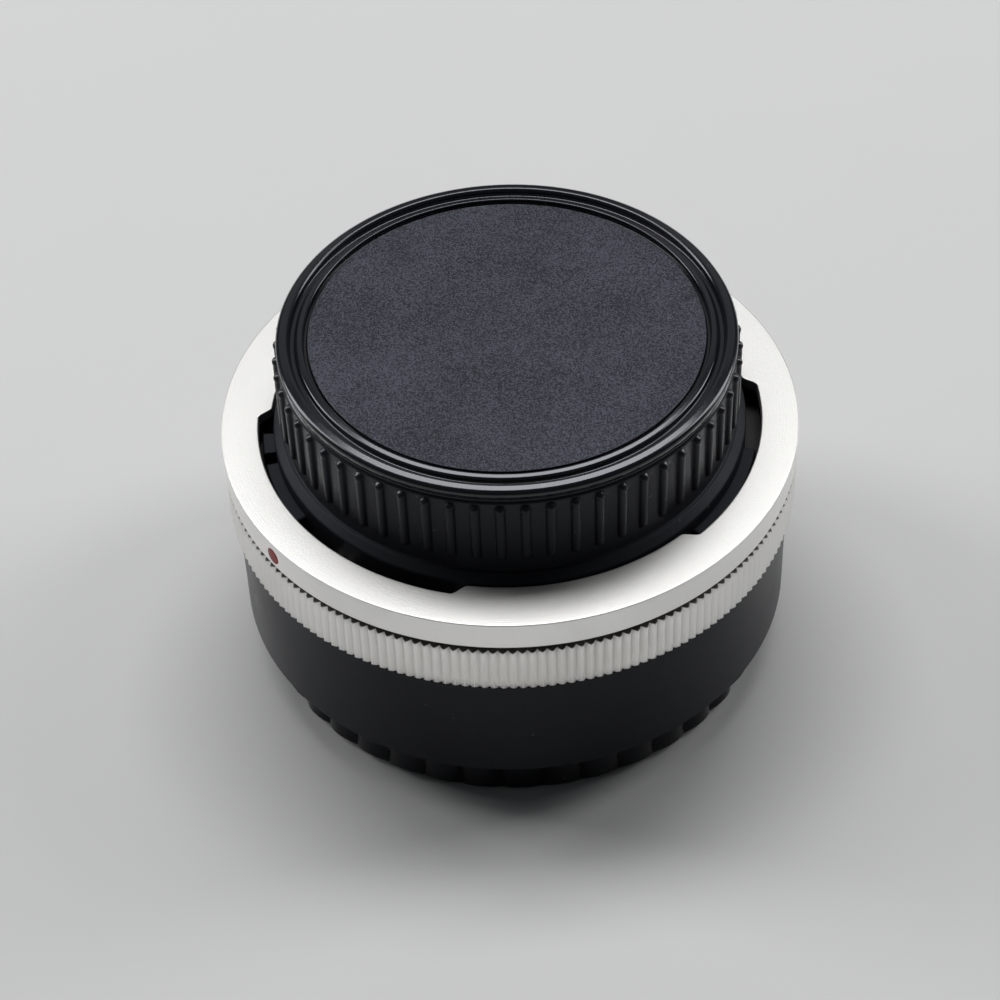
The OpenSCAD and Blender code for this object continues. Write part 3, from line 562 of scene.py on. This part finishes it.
class Sheet:
    """Short hand for building one node tree: adds nodes and links them."""

    def __init__(self, tree):
        self.tree = tree

    def add(self, kind, **values):
        """New node of a kind, with its own settings."""
        node = self.tree.nodes.new(kind)
        for key, value in values.items():
            setattr(node, key, value)
        return node

    def link(self, source, target):
        """Joins an output to an input."""
        self.tree.links.new(source, target)

    def math(self, operation, a, b=None):
        """Output of one operation on numbers or other outputs."""
        node = self.add("ShaderNodeMath", operation=operation)
        for socket, value in zip(node.inputs, (a, b)):
            if value is None:
                continue
            if isinstance(value, (int, float)):
                socket.default_value = value
            else:
                self.link(value, socket)
        return node.outputs[0]

    def ramp(self, value, low, high):
        """Smooth step: 0 at low and before it, 1 at high and past it. High may be the smaller one."""
        node = self.add("ShaderNodeMapRange", interpolation_type="SMOOTHSTEP")
        self.link(value, node.inputs["Value"])
        node.inputs["From Min"].default_value = low
        node.inputs["From Max"].default_value = high
        return node.outputs["Result"]

    def edge(self, length, low, high):
        """The same step for a length in metres, between two values in millimetres."""
        return self.ramp(length, low * MM, high * MM)

    def mix(self, factor, a, b):
        """Colour a where factor is 0, b where it is 1."""
        node = self.add("ShaderNodeMix", data_type="RGBA")
        sockets = [s for s in node.inputs if s.type == "RGBA"]
        self.link(factor, node.inputs["Factor"])
        for socket, value in zip(sockets, (a, b)):
            if isinstance(value, tuple):
                socket.default_value = value + (1.0,)
            else:
                self.link(value, socket)
        return [s for s in node.outputs if s.type == "RGBA"][0]

    def span(self, value, low, high):
        """Number that runs from low to high as value runs from 0 to 1."""
        return self.math("ADD", self.math("MULTIPLY", value, high - low), low)


def group(name, inputs, outputs):
    """Empty node group with float inputs (name, default) and float outputs; returns it, a Sheet for
    its nodes, and the two nodes that hold its inputs and outputs."""
    tree = bpy.data.node_groups.new(name, "ShaderNodeTree")
    for label, value in inputs:
        socket = tree.interface.new_socket(name=label, in_out="INPUT", socket_type="NodeSocketFloat")
        socket.default_value = value
    for label in outputs:
        tree.interface.new_socket(name=label, in_out="OUTPUT", socket_type="NodeSocketFloat")
    sheet = Sheet(tree)
    return tree, sheet, sheet.add("NodeGroupInput"), sheet.add("NodeGroupOutput")


def handling_group():
    """Faint smears and settled dust: Smear is broad and soft, Dust is sparse specks."""
    scales = [("Smear Scale", 60.0), ("Dust Scale", 900.0)]
    tree, s, inputs, outputs = group("handling", scales, ["Smear", "Dust"])
    place = s.add("ShaderNodeTexCoord").outputs["Object"]
    broad = s.add("ShaderNodeTexNoise")
    s.link(place, broad.inputs["Vector"])
    s.link(inputs.outputs["Smear Scale"], broad.inputs["Scale"])
    broad.inputs["Detail"].default_value = 4.0
    broad.inputs["Distortion"].default_value = 0.8
    s.link(s.ramp(broad.outputs["Fac"], 0.38, 0.68), outputs.inputs["Smear"])
    specks = s.add("ShaderNodeTexVoronoi")
    s.link(place, specks.inputs["Vector"])
    s.link(inputs.outputs["Dust Scale"], specks.inputs["Scale"])
    near = s.ramp(specks.outputs["Distance"], 0.16, 0.05)
    rare = s.add("ShaderNodeSeparateColor")
    s.link(specks.outputs["Color"], rare.inputs["Color"])
    s.link(s.math("MULTIPLY", near, s.ramp(rare.outputs["Red"], 0.86, 0.94)), outputs.inputs["Dust"])
    return tree


def turning_group():
    """Fine lathe lines: Lines varies with the distance from the axis and with the height only. Radius
    and Height give these two in metres."""
    tree, s, inputs, outputs = group("turning", [("Line Scale", 9000.0)], ["Lines", "Radius", "Height"])
    place = s.add("ShaderNodeTexCoord").outputs["Object"]
    parts = s.add("ShaderNodeSeparateXYZ")
    s.link(place, parts.inputs["Vector"])
    square_x = s.math("POWER", parts.outputs["X"], 2.0)
    square_y = s.math("POWER", parts.outputs["Y"], 2.0)
    radius = s.math("SQRT", s.math("ADD", square_x, square_y))
    along = s.math("ADD", radius, s.math("MULTIPLY", parts.outputs["Z"], 1.7))
    lines = s.add("ShaderNodeTexNoise", noise_dimensions="1D")
    s.link(s.math("MULTIPLY", along, inputs.outputs["Line Scale"]), lines.inputs["W"])
    lines.inputs["Scale"].default_value = 1.0
    lines.inputs["Detail"].default_value = 3.0
    s.link(lines.outputs["Fac"], outputs.inputs["Lines"])
    s.link(radius, outputs.inputs["Radius"])
    s.link(parts.outputs["Z"], outputs.inputs["Height"])
    return tree


def grain_group():
    """Moulded or blasted grain: Grain is fine and even, Mottle is a slower change of tone."""
    scales = [("Grain Scale", 4000.0), ("Mottle Scale", 120.0)]
    tree, s, inputs, outputs = group("grain", scales, ["Grain", "Mottle"])
    place = s.add("ShaderNodeTexCoord").outputs["Object"]
    for label, detail in (("Grain", 2.0), ("Mottle", 4.0)):
        noise = s.add("ShaderNodeTexNoise")
        noise.inputs["Roughness"].default_value = 0.65
        s.link(place, noise.inputs["Vector"])
        s.link(inputs.outputs[label + " Scale"], noise.inputs["Scale"])
        noise.inputs["Detail"].default_value = detail
        s.link(noise.outputs["Fac"], outputs.inputs[label])
    return tree


HANDLING = handling_group()
TURNING = turning_group()
GRAIN = grain_group()

# Materials. The black finishes mirror light with this cold tint
COLD = (0.84, 0.88, 1.0, 1.0)


def material(name, **constants):
    """New material with a Principled shader whose constant sockets are set; returns it, a Sheet
    for its nodes and the shader."""
    made = bpy.data.materials.new(name)
    made.use_nodes = True
    sheet = Sheet(made.node_tree)
    shader = next(n for n in made.node_tree.nodes if n.type == "BSDF_PRINCIPLED")
    for key, value in constants.items():
        shader.inputs[key.replace("_", " ")].default_value = value
    return made, sheet, shader


def use(sheet, tree, **values):
    """Places a shared group in a material with its own values."""
    node = sheet.add("ShaderNodeGroup", node_tree=tree)
    for key, value in values.items():
        node.inputs[key.replace("_", " ")].default_value = value
    return node.outputs


def bump(sheet, shader, height, strength, depth):
    """Feeds a height through a Bump node into the shader's normal; depth is in millimetres."""
    node = sheet.add("ShaderNodeBump")
    node.inputs["Strength"].default_value = strength
    node.inputs["Distance"].default_value = depth * MM
    sheet.link(height, node.inputs["Height"])
    sheet.link(node.outputs["Normal"], shader.inputs["Normal"])


def shade(colour, share):
    """A share of a colour."""
    return tuple(share * c for c in colour)


def smeared(s, turn, marks, light, dark):
    """Colour of turned metal: light, and dark where smears lie on the lathe lines."""
    return s.mix(s.math("MULTIPLY", marks["Smear"], s.span(turn["Lines"], 0.4, 1.0)), light, dark)


def turned_roughness(s, turn, marks, low, high):
    """Roughness of turned metal, from low to high by six parts of lathe lines and four of smears."""
    lines = s.math("MULTIPLY", turn["Lines"], 0.6)
    smears = s.math("MULTIPLY", marks["Smear"], 0.4)
    return s.span(s.math("ADD", lines, smears), low, high)


def satin_metal(name, light, dark, rough, lines=9000.0, relief=0.12):
    """Turned metal: lathe lines in the relief, smears in the tone and the roughness."""
    made, s, shader = material(name, Metallic=1.0)
    turn = use(s, TURNING, Line_Scale=lines)
    marks = use(s, HANDLING, Smear_Scale=70.0, Dust_Scale=1200.0)
    s.link(smeared(s, turn, marks, light, dark), shader.inputs["Base Color"])
    s.link(turned_roughness(s, turn, marks, *rough), shader.inputs["Roughness"])
    bump(s, shader, turn["Lines"], relief, 0.03)
    return made


def ring_metal(name, light, dark, rough, blast, dim):
    """Satin silver of the breech ring: lathe lines, bead-blasted grain and smears; the flat top face
    is blasted a little darker. Painted shade: the groove above the knurl, between the two heights of
    dim, is painted dark grey, and the tooth roots and other recessed faces are painted a little darker."""
    made, s, shader = material(name, Metallic=1.0)
    turn = use(s, TURNING, Line_Scale=7000.0)
    marks = use(s, HANDLING, Smear_Scale=80.0, Dust_Scale=1400.0)
    grit = use(s, GRAIN, Grain_Scale=6500.0, Mottle_Scale=80.0)
    radius = turn["Radius"]
    height = turn["Height"]
    # Painted shade: off the crests and the top face, the tone goes a tenth of the way to dark grey, so
    # tooth roots and recesses are painted darker
    crest = s.edge(radius, ROOT_R - 0.2, RING_R - 0.15)
    top = s.edge(height, LUG_UNDER - 0.2, LUG_UNDER)
    unshaded_share = s.span(s.math("MAXIMUM", crest, top), 0.9, 1.0)
    tone = s.mix(unshaded_share, shade(dark, 0.2), smeared(s, turn, marks, light, dark))
    blasted = s.edge(height, RING_TOP - 0.06, RING_TOP - 0.01)
    tone = s.mix(blasted, tone, s.mix(marks["Smear"], shade(light, 0.80), shade(light, 0.78)))
    # Painted shade: the groove under the band's edge, between the two heights of dim, goes to dark grey
    groove_shade = s.math("MULTIPLY", s.edge(height, dim[0] - 0.04, dim[0]), s.edge(height, dim[1] + 0.04, dim[1]))
    groove_shade = s.math("MULTIPLY", groove_shade, s.edge(radius, RING_R - 0.02, RING_R - 0.3))
    s.link(s.mix(groove_shade, tone, (0.30, 0.295, 0.27)), shader.inputs["Base Color"])
    s.link(turned_roughness(s, turn, marks, *rough), shader.inputs["Roughness"])
    relief = s.math("ADD", turn["Lines"], s.math("MULTIPLY", grit["Grain"], blast))
    bump(s, shader, relief, 0.3, 0.03)
    return made


def black_satin():
    """Black anodised barrel: fine blasted grain, smears, a little dust. The black is rubbed thin in
    places along the barrel's two edges."""
    made, s, shader = material("black_satin", Metallic=0.0, Specular_IOR_Level=0.17, Specular_Tint=COLD)
    grain = use(s, GRAIN, Grain_Scale=5200.0, Mottle_Scale=90.0)
    marks = use(s, HANDLING, Smear_Scale=55.0, Dust_Scale=700.0)
    tone = s.mix(grain["Mottle"], (0.002, 0.0022, 0.0042), (0.0042, 0.0046, 0.0075))
    turn = use(s, TURNING, Line_Scale=5000.0)
    low = s.edge(turn["Height"], BARREL_LOW + 0.5, BARREL_LOW)
    high = s.edge(turn["Height"], BARREL_TOP - 0.4, BARREL_TOP)
    outer = s.edge(turn["Radius"], BARREL_R - 0.6, BARREL_R - 0.2)
    worn = s.math("MULTIPLY", s.math("MAXIMUM", low, high), outer)
    worn = s.math("MULTIPLY", worn, s.ramp(grain["Mottle"], 0.42, 0.66))
    tone = s.mix(s.math("MULTIPLY", worn, 0.5), tone, (0.11, 0.11, 0.115))
    dust = s.math("MULTIPLY", marks["Dust"], 0.3)
    s.link(s.mix(dust, tone, (0.12, 0.12, 0.12)), shader.inputs["Base Color"])
    s.link(s.span(marks["Smear"], 0.26, 0.34), shader.inputs["Roughness"])
    bump(s, shader, grain["Grain"], 0.15, 0.06)
    return made


def cap_plastic(name, shine, low, high, disc=None):
    """Moulded black plastic: satin, with smears and a little dust. Where disc gives two tones, the
    round face inside the ridge has a matt moulded grain between them, the skirt is rougher than the
    wall, and the ridge, the rim and the upper sides of the ribs' balls are polished."""
    made, s, shader = material(name, Metallic=0.0, Specular_IOR_Level=shine, Specular_Tint=COLD)
    grain = use(s, GRAIN, Grain_Scale=5600.0, Mottle_Scale=70.0)
    marks = use(s, HANDLING, Smear_Scale=45.0, Dust_Scale=620.0)
    tone = s.mix(grain["Mottle"], low, high)
    rough = s.span(marks["Smear"], 0.22, 0.30)
    relief = s.math("MULTIPLY", grain["Grain"], 0.1)
    if disc:
        turn = use(s, TURNING, Line_Scale=4000.0)
        radius = turn["Radius"]
        height = turn["Height"]
        inside = s.edge(radius, DISC_R + 0.02, DISC_R - 0.1)
        above = s.edge(height, DISC_Z - 0.3, DISC_Z - 0.1)
        face = s.math("MULTIPLY", inside, above)
        speckle = s.math("ADD", grain["Grain"], s.span(grain["Mottle"], -0.12, 0.12))
        tone = s.mix(face, tone, s.mix(s.ramp(speckle, 0.42, 0.60), *disc))
        rim = s.edge(height, RIM_Z - 1.0, RIM_Z - 0.85)
        rough = s.math("ADD", rough, s.span(rim, 0.14, -0.07))
        rough = s.math("ADD", rough, s.math("MULTIPLY", face, 0.28))
        skirt = s.edge(height, RIB_LOW - 0.2, RIB_LOW - 0.8)
        rough = s.math("ADD", rough, s.math("MULTIPLY", skirt, 0.16))
        upper = s.edge(height, RIB_TOP + 0.2, RIB_TOP + 0.4)
        knob = s.math("MULTIPLY", upper, s.edge(radius, CAP_R + 0.02, CAP_R + 0.08))
        polish = s.math("MULTIPLY", s.math("MAXIMUM", rim, knob), s.span(face, 0.55, 0.0))
        s.link(polish, shader.inputs["Coat Weight"])
        shader.inputs["Coat Roughness"].default_value = 0.12
        relief = s.math("MULTIPLY", grain["Grain"], s.span(face, 0.1, 1.0))
    tone = s.mix(s.math("MULTIPLY", marks["Dust"], 0.35), tone, (0.14, 0.14, 0.14))
    s.link(tone, shader.inputs["Base Color"])
    s.link(rough, shader.inputs["Roughness"])
    bump(s, shader, relief, 0.6, 0.12)
    return made


def paint(name, low, high):
    """Glossy filled paint with a slightly uneven tone."""
    made, s, shader = material(name, Specular_IOR_Level=0.3)
    grain = use(s, GRAIN, Grain_Scale=2500.0, Mottle_Scale=700.0)
    s.link(s.mix(grain["Mottle"], low, high), shader.inputs["Base Color"])
    s.link(s.span(grain["Grain"], 0.28, 0.42), shader.inputs["Roughness"])
    bump(s, shader, grain["Grain"], 0.08, 0.05)
    return made


def inner_black():
    """Flat black lacquer of the inner pieces, with turned lines that keep stray light down."""
    made, s, shader = material("inner_black", Specular_IOR_Level=0.35)
    turn = use(s, TURNING, Line_Scale=5000.0)
    grain = use(s, GRAIN, Grain_Scale=3000.0, Mottle_Scale=110.0)
    tone = s.mix(grain["Mottle"], (0.008, 0.008, 0.009), (0.018, 0.018, 0.019))
    s.link(tone, shader.inputs["Base Color"])
    s.link(s.span(turn["Lines"], 0.48, 0.66), shader.inputs["Roughness"])
    bump(s, shader, turn["Lines"], 0.2, 0.05)
    return made


def coated_glass(name, tint, bloom):
    """Coated lens glass: the coating's colour drifts slightly over the surface."""
    made, s, shader = material(name, Roughness=0.03, IOR=1.55, Transmission_Weight=1.0, Metallic=0.0,
                               Coat_Weight=0.6, Coat_Roughness=0.02, Coat_Tint=bloom + (1.0,))
    grain = use(s, GRAIN, Grain_Scale=900.0, Mottle_Scale=40.0)
    s.link(s.mix(grain["Mottle"], tint, shade(tint, 0.96)), shader.inputs["Base Color"])
    return made


SILVER = satin_metal("satin_silver", (0.80, 0.795, 0.78), (0.72, 0.715, 0.70), rough=(0.28, 0.40))
# dim gives the heights of each ring's painted groove shade
BAND = ring_metal("band_silver", (0.95, 0.943, 0.92), (0.90, 0.892, 0.868), rough=(0.43, 0.50),
                  blast=2.0, dim=(GRIP_TOP - 2.0, BAND_Z + 0.06))
KNURL = ring_metal("knurl_silver", (0.94, 0.93, 0.90), (0.89, 0.88, 0.85), rough=(0.36, 0.46),
                   blast=1.0, dim=(GRIP_TOP - 0.02, GRIP_TOP + 0.1))
BLACK = black_satin()
REAR_PLASTIC = cap_plastic("rear_cap_plastic", 0.3, (0.004, 0.0042, 0.0058), (0.007, 0.0074, 0.0095),
                           disc=((0.002, 0.0023, 0.005), (0.058, 0.060, 0.078)))
FRONT_PLASTIC = cap_plastic("front_cap_plastic", 0.2, (0.002, 0.0021, 0.003), (0.004, 0.0042, 0.0055))
RED = paint("index_red", (0.20, 0.006, 0.007), (0.27, 0.009, 0.010))
INNER = inner_black()
CHROME = satin_metal("mount_chrome", (0.82, 0.82, 0.81), (0.74, 0.74, 0.73), rough=(0.12, 0.22),
                     lines=12000.0, relief=0.06)
STEEL = satin_metal("bright_steel", (0.62, 0.62, 0.62), (0.50, 0.50, 0.50), rough=(0.2, 0.34),
                    lines=15000.0, relief=0.08)
BRONZE = satin_metal("bronze_strip", (0.62, 0.46, 0.25), (0.52, 0.38, 0.20), rough=(0.24, 0.38),
                     lines=12000.0, relief=0.08)
GLASS = coated_glass("lens_glass", (0.93, 0.97, 0.98), (0.75, 0.85, 1.0))
FINISH = {"black_anodised": BLACK, "black_inner": INNER, "silver": SILVER, "chrome": CHROME, "steel": STEEL,
          "bronze": BRONZE, "red_paint": RED, "glass": GLASS, "cap_plastic": REAR_PLASTIC}


def dress(piece, finish, slot, *replaced):
    """Gives a new piece its material, and lets it stand for CAD nodes; slot is not used."""
    piece.data.materials.clear()
    piece.data.materials.append(finish)
    if replaced:
        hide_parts(*replaced)


for part in frame["record"]["subparts"]:
    node = nodes[part["node"]]
    node.data.materials.clear()
    node.data.materials.append(FINISH[part["material_slot"]])

dress(breech_flange(), BAND, "silver", "breech_flange")
dress(knurled_grip(), KNURL, "silver", "grip_ring")
dress(index_dot(), RED, "red_paint", "ring_index_dot")
dress(rear_cap(), REAR_PLASTIC, "cap_plastic", "rear_cap")
dress(cap_ears(), REAR_PLASTIC, "cap_plastic", "rear_cap")
dress(front_cap(), FRONT_PLASTIC, "cap_plastic", "front_cap")
dress(pin_coil(), STEEL, "steel", "pin_spring")
dress(return_spring("drive_coil", DRIVE_ARC, DRIVE_TURNS), STEEL, "steel", "drive_spring")
dress(return_spring("signal_coil", SIGNAL_ARC, SIGNAL_TURNS), STEEL, "steel", "signal_spring")


# Floor, light and camera


def floor_sheet():
    """Pale floor: one large quad under the object, with a very faint unevenness of tone."""
    corners = FLOOR_HALF * np.array([(-1, -1, 0), (1, -1, 0), (1, 1, 0), (-1, 1, 0)])
    corners[:, 2] = FLOOR_Z
    mesh = bpy.data.meshes.new("floor")
    mesh.from_pydata((corners * MM).tolist(), [], [(0, 1, 2, 3)])
    sheet_object = bpy.data.objects.new("floor", mesh)
    scene.collection.objects.link(sheet_object)
    made, s, shader = material("floor_paper", Roughness=0.7, Specular_IOR_Level=0.2)
    grain = use(s, GRAIN, Grain_Scale=600.0, Mottle_Scale=8.0)
    s.link(s.mix(grain["Mottle"], (0.57, 0.57, 0.575), (0.60, 0.60, 0.60)), shader.inputs["Base Color"])
    mesh.materials.append(made)


def softbox(name, place, width, height, power):
    """White area lamp at place, turned towards LAMP_AIM, in metres and watts."""
    lamp = bpy.data.lights.new(name, "AREA")
    lamp.shape = "RECTANGLE"
    lamp.size = width
    lamp.size_y = height
    lamp.energy = power
    holder = bpy.data.objects.new(name, lamp)
    holder.location = place
    holder.rotation_euler = (Vector(LAMP_AIM) - Vector(place)).to_track_quat("-Z", "Y").to_euler()
    scene.collection.objects.link(holder)


def swung(a, b, angle):
    """Two directions at right angles, turned by an angle in the plane that they span."""
    return a * np.cos(angle) - b * np.sin(angle), a * np.sin(angle) + b * np.cos(angle)


def photograph_camera():
    """Camera of the photograph: it looks at the ring's top from VIEW_DISTANCE and VIEW_ELEVATION,
    then pans, tilts and rolls a little, as the frame was held."""
    target = np.array([0, 0, RING_TOP])
    offset = VIEW_DISTANCE * np.array([0, -np.cos(VIEW_ELEVATION), np.sin(VIEW_ELEVATION)])
    ahead = -offset / VIEW_DISTANCE
    right = np.array([1.0, 0, 0])
    up = np.cross(right, ahead)
    right, ahead = swung(right, ahead, VIEW_PAN)
    up, ahead = swung(up, ahead, VIEW_TILT)
    right, up = swung(right, up, VIEW_ROLL)
    place = (target + offset) * MM
    lens = bpy.data.cameras.new("photograph")
    lens.lens = VIEW_LENS
    lens.sensor_width = 36.0
    lens.sensor_fit = "HORIZONTAL"
    lens.clip_start = 0.01
    lens.clip_end = 50.0
    holder = bpy.data.objects.new("photograph", lens)
    basis = np.stack([right, up, -ahead, place], axis=1)
    holder.matrix_world = Matrix(basis.tolist() + [[0, 0, 0, 1]])
    scene.collection.objects.link(holder)
    scene.camera = holder


floor_sheet()
softbox("key_softbox", (-0.03, 0.36, 1.0), width=0.9, height=0.36, power=7.6)
softbox("back_softbox", (0.0, 0.85, 0.60), width=1.0, height=0.5, power=0.4)
softbox("left_strip", (-0.68, 0.26, 0.45), width=0.25, height=0.7, power=3.2)
softbox("right_strip", (0.68, 0.26, 0.45), width=0.25, height=0.7, power=2.8)
world = bpy.data.worlds.new("studio")
world.use_nodes = True
sky = world.node_tree.nodes["Background"]
sky.inputs["Color"].default_value = (0.9, 0.95, 1.0, 1.0)
sky.inputs["Strength"].default_value = 0.06
scene.world = world
photograph_camera()
scene.view_settings.view_transform = "Standard"
